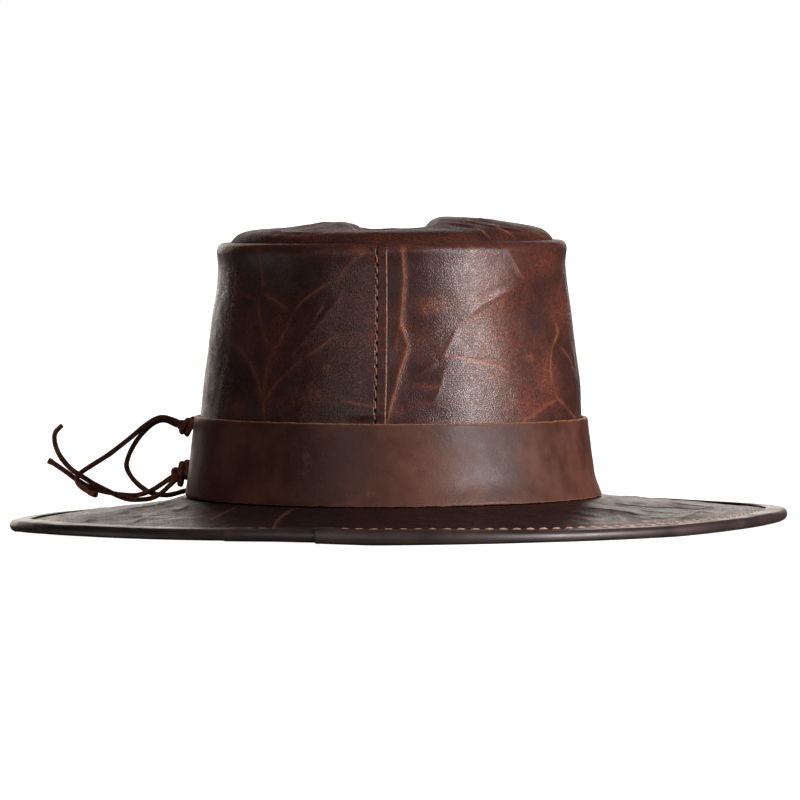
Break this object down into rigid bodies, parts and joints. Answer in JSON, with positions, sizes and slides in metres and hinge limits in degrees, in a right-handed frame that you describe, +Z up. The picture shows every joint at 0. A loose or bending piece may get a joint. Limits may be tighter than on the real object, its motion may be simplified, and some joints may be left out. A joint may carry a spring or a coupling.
{
  "type": "leather hat",
  "caption": "Wide-brimmed leather hat with a creased crown, a bound brim and a plain band laced shut at the side.",
  "frame": {"origin": "on the surface the hat rests on, under the middle of the brim's outline", "axes": "+Z up through the crown, +Y towards the front of the hat, +X towards the wearer's right"},
  "size_m": [0.342, 0.3807, 0.1351],
  "materials": {
    "crown_leather": "glossy pull-up leather, creased",
    "brim_leather": "glossy pull-up leather",
    "binding_leather": "smooth satin",
    "band_leather": "satin, raw edges",
    "lace_leather": "matte"
  },
  "bodies": {
    "root": {"crown_side": "crown_leather", "crown_tip": "crown_leather", "brim": "brim_leather", "brim_binding": "binding_leather", "hat_band": "band_leather", "knot_upper": "lace_leather", "knot_lower": "lace_leather", "lace_upper_long": "lace_leather", "lace_upper_loop": "lace_leather", "lace_lower_high": "lace_leather", "lace_lower_low": "lace_leather"}
  },
  "joints": []
}
